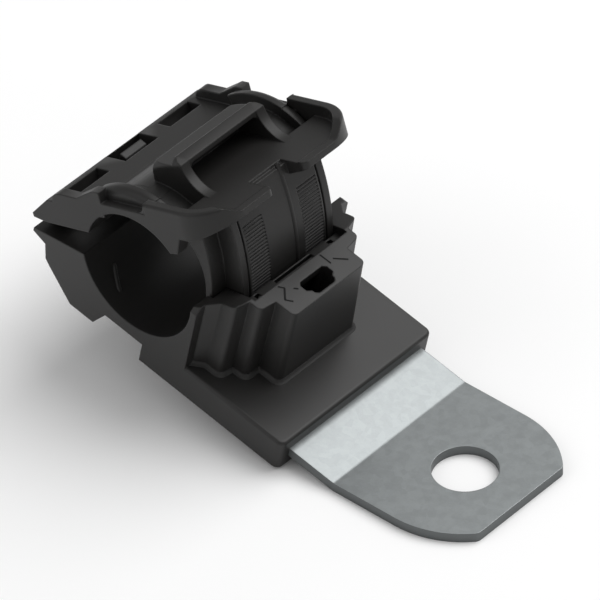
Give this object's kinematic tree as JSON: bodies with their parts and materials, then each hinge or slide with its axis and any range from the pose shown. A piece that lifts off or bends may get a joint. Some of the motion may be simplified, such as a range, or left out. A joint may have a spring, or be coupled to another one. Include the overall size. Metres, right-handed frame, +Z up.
{
  "type": "p clip, ratchet cable clamp on a bent mounting bracket",
  "caption": "Black two-jaw ratchet P clamp moulded on a bent steel strip with a bolt hole, to carry a cable bundle or hose.",
  "frame": {"origin": "centre of the bolt hole, on the underside of the bracket's level pad", "axes": "+Z up along the bolt, +X from the clamp to the pad, +Y along the cable bore"},
  "size_m": [0.0692, 0.0292, 0.0356],
  "materials": {
    "black_nylon": "satin moulded polyamide",
    "galvanised_steel": "hot-dip galvanised sheet"
  },
  "bodies": {
    "base": {"lower_jaw": "black_nylon", "mounting_bracket": "galvanised_steel"},
    "lid": {"upper_jaw": "black_nylon"}
  },
  "joints": [
    {"name": "jaw_hinge", "type": "hinge", "parent": "base", "child": "lid", "pos_m": [-0.05838, 0, 0.0204], "axis": [0, -1, 0], "range_deg": [-18, 75]}
  ]
}
